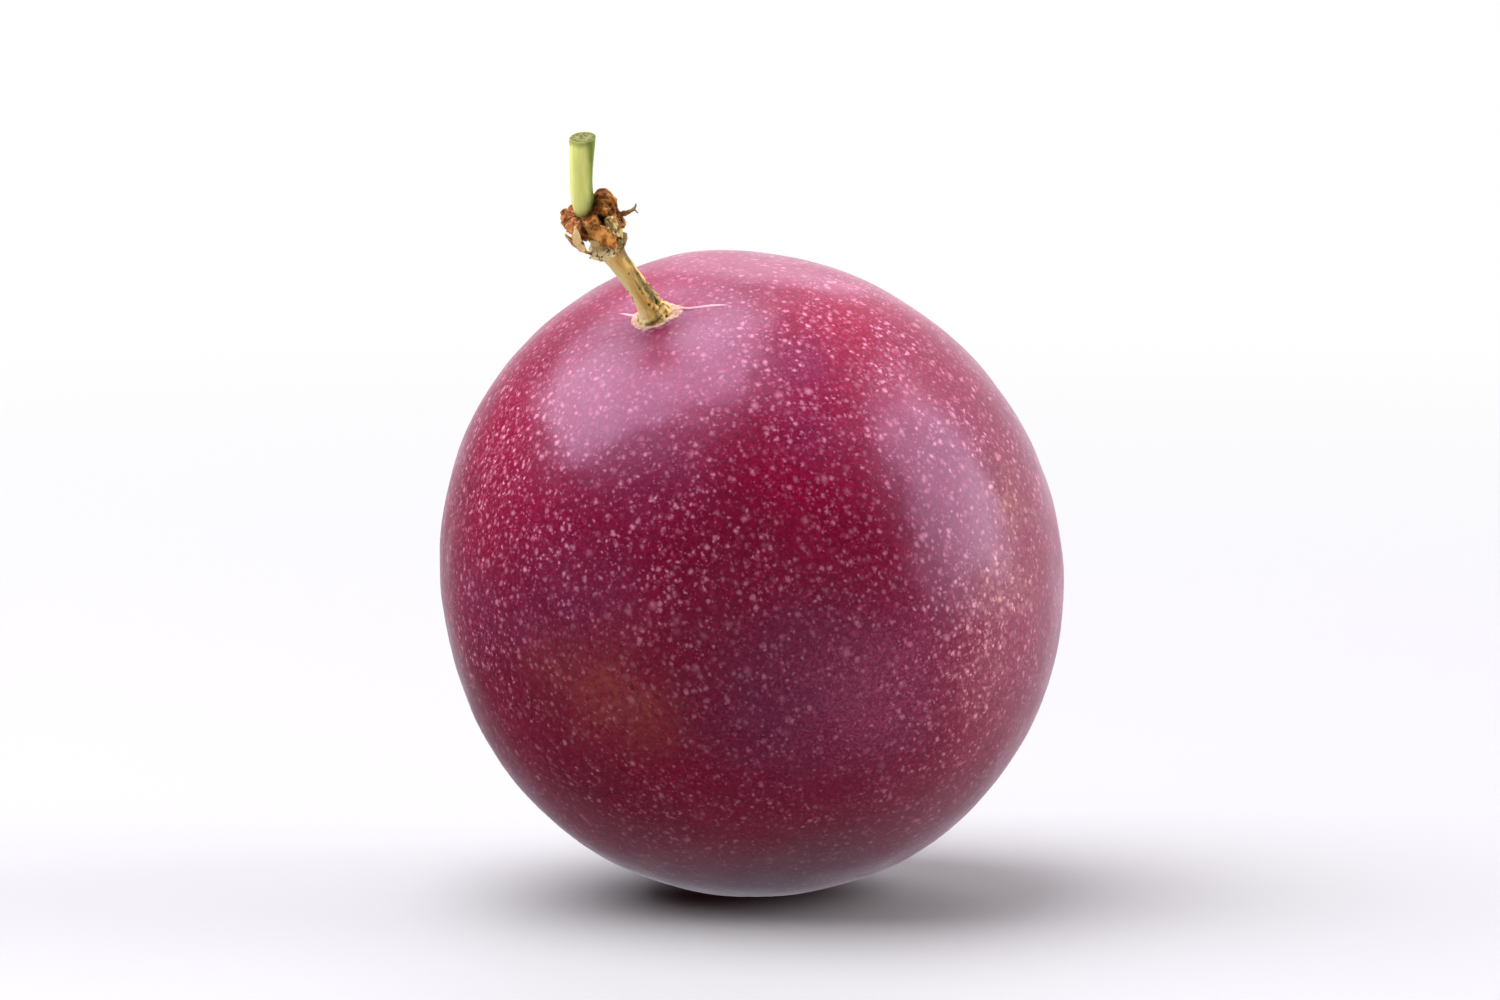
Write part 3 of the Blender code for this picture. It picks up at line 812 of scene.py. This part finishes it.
# Each shred: where it starts, bends and ends, as (direction, height, radius) in degrees and
# millimetres, then its width and its lighter and darker colours
SHREDS = (
    ((75, 3.5, 2.60), (80, 2.4, 2.75), (85, 1.2, 1.90), 2.0, (190, 126, 66), (120, 66, 28)),
    ((206, 4.9, 2.85), (211, 3.3, 2.80), (222, 1.7, 2.05), 1.2, (236, 186, 104), (160, 106, 46)),
    ((250, 5.8, 2.95), (238, 3.9, 3.25), (222, 1.9, 2.20), 0.85, (255, 230, 168), (255, 208, 132)),
    ((280, 5.0, 2.70), (287, 3.4, 3.10), (302, 1.3, 2.00), 1.6, (240, 168, 88), (156, 90, 36)),
    ((312, 4.8, 2.80), (322, 3.4, 2.85), (338, 1.4, 1.95), 1.5, (214, 190, 122), (116, 94, 44)),
)
SHRED_ROWS = 56
SHRED_COLUMNS = 36
SHRED_THICKNESS = 0.22 * MM


def make_shred(number, finish):
    """One dried strip from the cup's wall down to the collar, ragged along both edges."""
    start, bend, end, width = SHREDS[number - 1][:4]

    def point_at(i, j):
        share = i / (SHRED_ROWS - 1)
        loop = math.tau * j / SHRED_COLUMNS
        way, height, radius = curve_point(Vector(start), Vector(bend), Vector(end), share)
        edge = 1 if math.cos(loop) > 0 else -1
        ragged = 1 + 0.30 * noise.noise(Vector((number * 7.3, edge, share * 5.0)))
        ragged += 0.18 * noise.noise(Vector((number * 3.1, edge * 4, share * 14.0)))
        ends = min(1.0, 0.30 + 3.0 * share) * min(1.0, 0.35 + 2.2 * (1 - share))
        across = width / 2 * ragged * ends * math.cos(loop)
        creases = crest(noise.noise(Vector((across * 2.4, number * 3.0, share * 3.0))))
        ripple = noise.noise(Vector((across * 1.1, number * 5.0, share * 4.5)))
        relief = 0.10 * creases + 0.22 * ripple
        curl = 0.16 * (across / width * 2) ** 2
        depth = SHRED_THICKNESS / MM / 2 * math.sin(loop) * (0.5 + 0.5 * ends)
        angle = math.radians(way) + across / 2.4
        out = Vector((math.cos(angle), math.sin(angle), 0)) * (radius + relief + curl + depth)
        slip = 0.12 * noise.noise(Vector((across * 3, number, share * 8)))
        point = STEM_FRAME @ ((out + Vector((0, 0, height + slip))) * MM)
        return point, 0.5 + 1.8 * relief, abs(math.cos(loop))

    layers = ("relief", "edge")
    piece = add_skin(f"sepal_shred_{number}", SHRED_ROWS, SHRED_COLUMNS, point_at, finish, layers)
    settle(piece, "torn_fibre", f"sepal_{number}")


def shred_finish(name, light, dark):
    f = Finish(name, STEM_FRAME, IOR=1.4, Specular_IOR_Level=0.2)
    fibres = f.lumps(0.22, 3.0, f.stretched((1, 1, 0.25)), 0.65)
    blotch = f.lumps(0.9, 2.0)
    share = f.sums("MULTIPLY_ADD", blotch, 0.8, f.sums("MULTIPLY_ADD", fibres, 0.6, -0.2))
    colour = f.mix(f.ramp(share, 0.38, 0.64), linear(*light), linear(*dark))
    # Painted shade: darker in the crease valleys
    colour = f.mix(f.ramp(f.layer("relief"), 0.38, 0.12), colour, linear(60, 34, 14))
    edge = f.sums("MULTIPLY_ADD", f.lumps(0.5, 2.0), 0.35, f.layer("edge"))
    colour = f.mix(f.ramp(edge, 1.0, 1.15, 0.0, 0.8), colour, linear(74, 42, 16))
    return f.wear(colour, f.ramp(fibres, 0.3, 0.7, 0.65, 0.85), f.bump(fibres, 0.10, 0.9))


AWN_ROWS = 48
AWN_COLUMNS = 16
# Points of the awn in the stem's frame, in millimetres
AWN_ROOT = Vector((2.35, 0.0, 3.65))
AWN_ELBOW = Vector((4.40, -0.05, 2.95))
AWN_TIP = Vector((4.72, 0.05, 3.80))
AWN_PRONG = Vector((4.42, -0.10, 2.75))
AWN_FORK = 0.62  # where the prong leaves the awn, from its root to its tip


def awn_thread(name, start, corner, end, width, tip, finish):
    """A flat thread in the stem's frame that tapers from width to tip, in millimetres."""

    def point_at(i, j):
        share = i / (AWN_ROWS - 1)
        loop = math.tau * j / AWN_COLUMNS
        centre = curve_point(start, corner, end, share)
        along = (curve_point(start, corner, end, share + 0.01) - centre).normalized()
        thin = Vector((0, 1, 0))
        wide = along.cross(thin)
        half = (width - tip) * (1 - share) ** 1.7 + tip
        uneven = 1 + 0.25 * noise.noise(Vector((share * 9, width, 0)))
        half *= uneven * (1 - 0.7 * blend(0.9, 1.0, share))
        wrinkle = 0.04 * noise.noise(Vector((share * 12, 3, math.cos(loop))))
        flat = min(half, 0.13) * math.sin(loop) + wrinkle
        point = centre + wide * half * math.cos(loop) + thin * flat
        return (STEM_FRAME @ (point * MM),)

    return add_skin(name, AWN_ROWS, AWN_COLUMNS, point_at, finish)


def make_awn(finish):
    """The thin dried point: broad where it leaves the cup, hooked up and forked at its tip."""
    piece = awn_thread("bract_awn_thread", AWN_ROOT, AWN_ELBOW, AWN_TIP, 0.44, 0.08, finish)
    settle(piece, "dried_calyx", "bract_awn")
    fork = curve_point(AWN_ROOT, AWN_ELBOW, AWN_TIP, AWN_FORK)
    corner = AWN_ELBOW * 0.5 + fork * 0.5
    prong = awn_thread("bract_awn_prong", fork, corner, AWN_PRONG, 0.12, 0.06, finish)
    settle(prong, "dried_calyx")


def awn_finish():
    f = Finish("dry_awn", STEM_FRAME, IOR=1.4, Specular_IOR_Level=0.2)
    across, _ = f.across()
    fibres = f.lumps(0.25, 3.0, f.stretched((0.3, 1, 1)), 0.6)
    tan = f.mix(f.ramp(fibres, 0.35, 0.65), linear(196, 156, 100), linear(140, 104, 62))
    brown = f.mix(f.ramp(fibres, 0.35, 0.65), linear(166, 104, 56), linear(104, 60, 28))
    colour = f.mix(f.ramp(across, 2.6, 3.9), brown, tan)
    return f.wear(colour, f.ramp(fibres, 0.3, 0.7, 0.6, 0.8), f.bump(fibres, 0.06, 0.8))


STUB_ROWS = 120
STUB_COLUMNS = 72
STUB_CUT_ROWS = 16  # the last rows of the mesh, which close the cut face


def make_peduncle(finish):
    """The green stub: it leaves the cup along the stem, straightens up and ends in a clean cut."""
    start = PEDUNCLE_FOOT - STEM_AXIS * PEDUNCLE_SUNK
    corner = PEDUNCLE_FOOT + STEM_AXIS * PEDUNCLE_START_STRAIGHT
    end = PEDUNCLE_FOOT + leaning(PEDUNCLE_TILT, PEDUNCLE_HEADING) * (PEDUNCLE_LENGTH + 0.1 * MM)
    up = (end - corner).normalized()
    side_rows = STUB_ROWS - STUB_CUT_ROWS

    def point_at(i, j):
        share = min(1.0, i / (side_rows - 1))
        around = math.tau * j / STUB_COLUMNS
        centre = curve_point(start, corner, end, share)
        along = (curve_point(start, corner, end, share + 0.01) - centre).normalized()
        across = (Vector((1, 0, 0)) - along * along.x).normalized()
        away = along.cross(across)
        ribs = noise.noise(Vector((1.6 * math.cos(around), 1.6 * math.sin(around), share * 1.5)))
        corner_left = hill(turned_by(around, 188.0), 0.35) * blend(0.9, 1.0, share)
        radius = PEDUNCLE_RADIUS * (0.88 + 0.04 * blend(0.1, 0.3, share)) * (1 + 0.03 * ribs)
        radius *= 1 + 0.12 * blend(0.55, 1.0, share) + 0.10 * corner_left
        slant = 0.20 * MM * math.cos(turned_by(around, 20.0)) * blend(0.8, 1.0, share)
        rim = cut = 0.0
        if i >= side_rows:
            cut = (i - side_rows + 1) / STUB_CUT_ROWS
            rim = (0.05 * hill(cut - 0.15, 0.12) - 0.07 * blend(0.2, 0.9, cut)) * MM
            spot = Vector((cut * 3 * math.cos(around), cut * 3 * math.sin(around), 5))
            rim += 0.03 * MM * noise.noise(spot)
            slant *= 1 - cut
        radius *= 1 - 0.97 * cut
        point = centre + across * radius * math.cos(around) + away * radius * math.sin(around)
        return point + up * (slant + rim), share, cut

    layers = ("share", "cut")
    piece = add_skin("peduncle_stub", STUB_ROWS, STUB_COLUMNS, point_at, finish, layers)
    piece.data.set_sharp_from_angle(angle=math.radians(40))
    settle(piece, "green_stalk", "peduncle")


def green_finish():
    """Fresh green with a damp cut end and painted light and shade: paler on its lit left side than on
    its shaded right, plain mid green behind.
    """
    f = Finish(
        "green_stub",
        PEDUNCLE_FRAME,
        IOR=1.42,
        Specular_IOR_Level=0.35,
        Subsurface_Weight=0.4,
        Subsurface_Radius=(1.0, 1.0, 0.5),
        Subsurface_Scale=1.4 * MM,
    )
    share, cut = f.layer("share"), f.layer("cut")
    across, away = f.across()
    streaks = f.lumps(0.45, 3.0, f.stretched((1, 1, 0.10)), 0.6)
    streak = f.ramp(streaks, 0.3, 0.7)
    # Painted light and shade: a pale lit colour for the left side and a dark shaded green for the right
    left = f.mix(streak, linear(236, 238, 148), linear(222, 228, 122))
    right = f.mix(streak, linear(124, 138, 24), linear(98, 114, 14))
    colour = f.mix(f.ramp(across, 0.0, 0.80), left, right)
    far_side = f.mix(streak, linear(150, 168, 66), linear(126, 146, 50))
    colour = f.mix(f.ramp(away, 0.25, 0.75), colour, far_side)
    colour = f.mix(f.ramp(share, 0.93, 1.0, 0.0, 0.7), colour, linear(104, 116, 50))
    colour = f.mix(f.ramp(share, 0.24, 0.06, 0.0, 0.6), colour, linear(134, 134, 62))
    pith = f.mix(f.ramp(f.lumps(0.25, 3.0), 0.35, 0.65), linear(130, 128, 70), linear(78, 78, 30))
    pith = f.mix(f.ramp(cut, 0.40, 0.12, 0.0, 0.85), pith, linear(84, 90, 34))
    on_cut = f.ramp(cut, 0.0, 0.06)
    colour = f.mix(on_cut, colour, pith)
    normal = f.bump(streaks, 0.05, 0.5)
    normal = f.bump(f.lumps(0.2, 3.0), 0.02, 0.5, normal)
    roughness = f.ramp(streaks, 0.3, 0.7, 0.42, 0.55)
    roughness = f.sums("MULTIPLY_ADD", on_cut, 0.4, roughness)
    return f.wear(colour, roughness, normal)


STYLE_ROWS = 40
STYLE_COLUMNS = 36
STYLE_LENGTH = 2.1 * MM


def make_style(finish):
    """The dry stub of the three styles in the dimple at the far end."""
    floor = BLOSSOM_DIMPLE_DEPTH - POLE_RADIUS

    def point_at(i, j):
        share = i / (STYLE_ROWS - 1)
        around = math.tau * j / STYLE_COLUMNS
        lobes = 1 + 0.16 * math.cos(3 * around) * share
        radius = (1.05 - 0.55 * blend(0, 0.6, share)) * MM * lobes * (1 - 0.9 * blend(0.85, 1.0, share))
        bumps = noise.noise(Vector((math.cos(around) * 2, math.sin(around) * 2, share * 4)))
        radius *= 1 + 0.2 * bumps
        height = floor + STYLE_SUNK - STYLE_LENGTH * share
        point = Vector((radius * math.cos(around), radius * math.sin(around), height))
        return (FRUIT_FRAME @ point,)

    piece = add_skin("style_stub", STYLE_ROWS, STYLE_COLUMNS, point_at, finish)
    settle(piece, "dried_style", "style_remnant")


def style_finish():
    f = Finish("dry_style", FRUIT_FRAME, IOR=1.4)
    grain = f.lumps(0.4, 3.0, f.stretched((1, 1, 0.4)))
    colour = f.mix(f.ramp(grain, 0.3, 0.7), linear(128, 88, 56), linear(58, 36, 24))
    return f.wear(colour, f.ramp(grain, 0.3, 0.7, 0.7, 0.9), f.bump(grain, 0.1, 0.8))


# ---------------------------------------------------------------- studio

FLOOR_RADIUS = 1.6
FLOOR_SIDES = 96
FLOOR_DROP = 0.02 * MM  # keeps the floor clear of the flat spot
FLOOR_COLOUR = (0.36, 0.36, 0.31, 1)
FLOOR_ROUGHNESS = 0.65
FLOOR_FADE = (120.0, 460.0)  # where it starts to turn white and where it is white, in millimetres


def make_floor():
    """A pale table top that turns into the white background further out."""
    bm = bmesh.new()
    bmesh.ops.create_circle(bm, cap_ends=True, radius=FLOOR_RADIUS, segments=FLOOR_SIDES)
    mesh = bpy.data.meshes.new("studio_floor")
    bm.to_mesh(mesh)
    bm.free()
    floor = bpy.data.objects.new("studio_floor", mesh)
    floor.location.z = -FLOOR_DROP
    floor.visible_glossy = False  # in the photo the rind mirrors its dark neighbours, not the floor
    bpy.context.scene.collection.objects.link(floor)
    f = Finish("pale_table", Base_Color=FLOOR_COLOUR, Roughness=FLOOR_ROUGHNESS)
    far = f.add("ShaderNodeVectorMath", {0: f.place}, operation="LENGTH").outputs["Value"]
    white = f.add("ShaderNodeEmission", {"Color": (1, 1, 1, 1), "Strength": 1.0}).outputs[0]
    inputs = {0: f.ramp(far, *FLOOR_FADE), 1: f.shader.outputs[0], 2: white}
    fade = f.add("ShaderNodeMixShader", inputs)
    out = f.tree.nodes["Material Output"]
    f.tree.links.new(fade.outputs[0], out.inputs["Surface"])
    mesh.materials.append(f.material)


def add_softbox(name, towards, distance, width, height, radiance):
    """A rectangular light that looks at the fruit's middle from a direction."""
    light = bpy.data.lights.new(name, "AREA")
    light.shape = "RECTANGLE"
    light.size, light.size_y = width, height
    light.energy = radiance * math.pi * width * height
    light.color = LIGHT_TINT
    lamp = bpy.data.objects.new(name, light)
    away = Vector(towards).normalized()
    lamp.location = fruit_middle() + away * distance
    lamp.rotation_euler = away.to_track_quat("Z", "Y").to_euler()
    lamp.visible_camera = False
    bpy.context.scene.collection.objects.link(lamp)


WORLD_TINT = (0.92, 0.88, 1, 1)
WORLD_LIGHT = (  # (axis, where it starts to grow, where it is full, least and greatest strength)
    ("Y", -0.45, 0.60, 0.07, 1.25),
    ("X", -0.70, 0.00, 0.15, 1.0),
    ("Z", -0.55, 0.00, 0.45, 1.0),
)


def make_world():
    """White to the camera; as light, bright behind the fruit and dim in front, to its left and below."""
    world = bpy.data.worlds.new("studio")
    bpy.context.scene.world = world
    world.use_nodes = True
    tree = world.node_tree
    nodes, links = tree.nodes, tree.links
    nodes.clear()
    where = nodes.new("ShaderNodeTexCoord")
    parts = nodes.new("ShaderNodeSeparateXYZ")
    links.new(where.outputs["Generated"], parts.inputs[0])

    def multiply(first, second):
        product = nodes.new("ShaderNodeMath")
        product.operation = "MULTIPLY"
        links.new(first, product.inputs[0])
        links.new(second, product.inputs[1])
        return product.outputs[0]

    def strength_along(axis, *limits):
        ramp = nodes.new("ShaderNodeMapRange")
        ramp.interpolation_type = "SMOOTHSTEP"
        links.new(parts.outputs[axis], ramp.inputs["Value"])
        for socket, value in zip(("From Min", "From Max", "To Min", "To Max"), limits):
            ramp.inputs[socket].default_value = value
        return ramp.outputs[0]

    strength = functools.reduce(multiply, [strength_along(*terms) for terms in WORLD_LIGHT])
    soft = nodes.new("ShaderNodeBackground")
    links.new(strength, soft.inputs["Strength"])
    white = nodes.new("ShaderNodeBackground")
    rays = nodes.new("ShaderNodeLightPath")
    either = nodes.new("ShaderNodeMixShader")
    out = nodes.new("ShaderNodeOutputWorld")
    soft.inputs["Color"].default_value = WORLD_TINT
    white.inputs["Color"].default_value = (1, 1, 1, 1)
    links.new(rays.outputs["Is Camera Ray"], either.inputs[0])
    links.new(soft.outputs[0], either.inputs[1])
    links.new(white.outputs[0], either.inputs[2])
    links.new(either.outputs[0], out.inputs["Surface"])


CAMERA_ELEVATION = 8.0
CAMERA_DISTANCE = 1.5
FRAME_WIDTH = 0.150  # what the 1500 pixels span at the fruit
SENSOR_WIDTH = 36.0


def make_camera():
    low, high = (Vector(corner) for corner in CAD_BOX)
    target = Vector((fruit_middle().x, fruit_middle().y, (low.z + high.z) / 2))
    data = bpy.data.cameras.new("photo_view")
    data.sensor_width = SENSOR_WIDTH
    data.lens = SENSOR_WIDTH * CAMERA_DISTANCE / FRAME_WIDTH
    data.clip_start, data.clip_end = 0.05, 20
    camera = bpy.data.objects.new("photo_view", data)
    rise = math.radians(CAMERA_ELEVATION)
    back = Vector((0, -math.cos(rise), math.sin(rise)))
    camera.location = target + back * CAMERA_DISTANCE
    camera.rotation_euler = back.to_track_quat("Z", "Y").to_euler()
    bpy.context.scene.collection.objects.link(camera)
    bpy.context.scene.camera = camera


LIGHT_TINT = (0.83, 0.82, 1.0)
SOFTBOXES = (  # (name, direction from the fruit, distance, width, height, radiance)
    ("overhead_left_softbox", (-0.44, 0.06, 0.90), 1.0, 1.02, 1.22, 7.0),
    ("overhead_left_halo", (-0.40, -0.14, 0.92), 1.1, 1.40, 1.60, 1.4),
    ("back_softbox", (0.05, 0.82, 0.58), 1.2, 0.60, 0.40, 1.7),
    ("right_softbox", (0.91, 0.04, 0.38), 1.0, 0.68, 0.95, 4.7),
    ("right_halo", (0.91, 0.0, 0.36), 1.1, 1.05, 1.25, 0.75),
)


def make_studio():
    make_floor()
    make_world()
    for softbox in SOFTBOXES:
        add_softbox(*softbox)
    make_camera()
    bpy.context.scene.view_settings.view_transform = "Standard"


def main():
    make_rind(rind_finish())
    make_stalk(stalk_finish())
    make_cup(husk_finish())
    for number, (*_, light, dark) in enumerate(SHREDS, start=1):
        make_shred(number, shred_finish(f"torn_sepal_{number}", light, dark))
    make_awn(awn_finish())
    make_peduncle(green_finish())
    make_style(style_finish())
    make_studio()


main()
